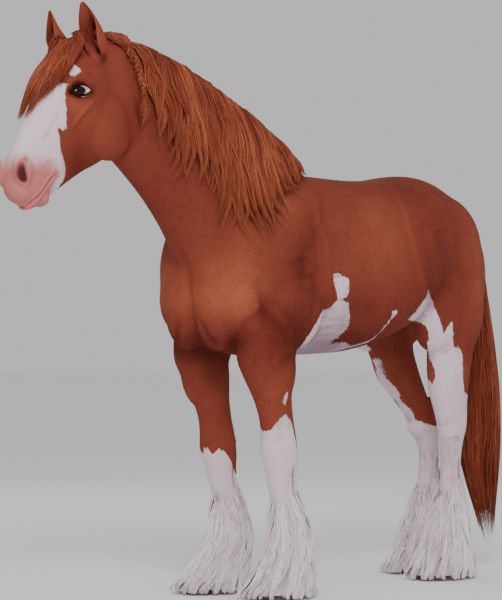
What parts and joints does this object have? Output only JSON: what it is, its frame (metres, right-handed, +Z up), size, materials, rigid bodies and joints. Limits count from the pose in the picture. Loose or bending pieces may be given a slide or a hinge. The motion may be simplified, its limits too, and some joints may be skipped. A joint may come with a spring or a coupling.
{
  "type": "shire horse",
  "caption": "Life-size still model of a Shire horse standing square, with a full mane, a plait behind the ear, a long tail and feathered legs.",
  "frame": {"origin": "on the floor, under the middle of the horse's outline", "axes": "the horse faces -X, its left side is -Y, and +Z is up"},
  "size_m": [3.1426, 0.734, 2.4294],
  "materials": {
    "chestnut_coat": "short glossy hair",
    "mane_hair": "long hair",
    "white_feather": "long soft hair",
    "hoof_horn": "smooth horn",
    "eye": "wet gloss"
  },
  "bodies": {
    "root": {"head": "chestnut_coat", "neck": "chestnut_coat", "torso": "chestnut_coat", "tail": "mane_hair", "ear_left": "chestnut_coat", "ear_right": "chestnut_coat", "eye_left": "eye", "eye_right": "eye", "foreleg_left_upper": "chestnut_coat", "foreleg_right_upper": "chestnut_coat", "hindleg_left_upper": "chestnut_coat", "hindleg_right_upper": "chestnut_coat", "foreleg_left_lower": "white_feather", "foreleg_right_lower": "white_feather", "hindleg_left_lower": "white_feather", "hindleg_right_lower": "white_feather", "hoof_fore_left": "hoof_horn", "hoof_fore_right": "hoof_horn", "hoof_hind_left": "hoof_horn", "hoof_hind_right": "hoof_horn"}
  },
  "joints": []
}
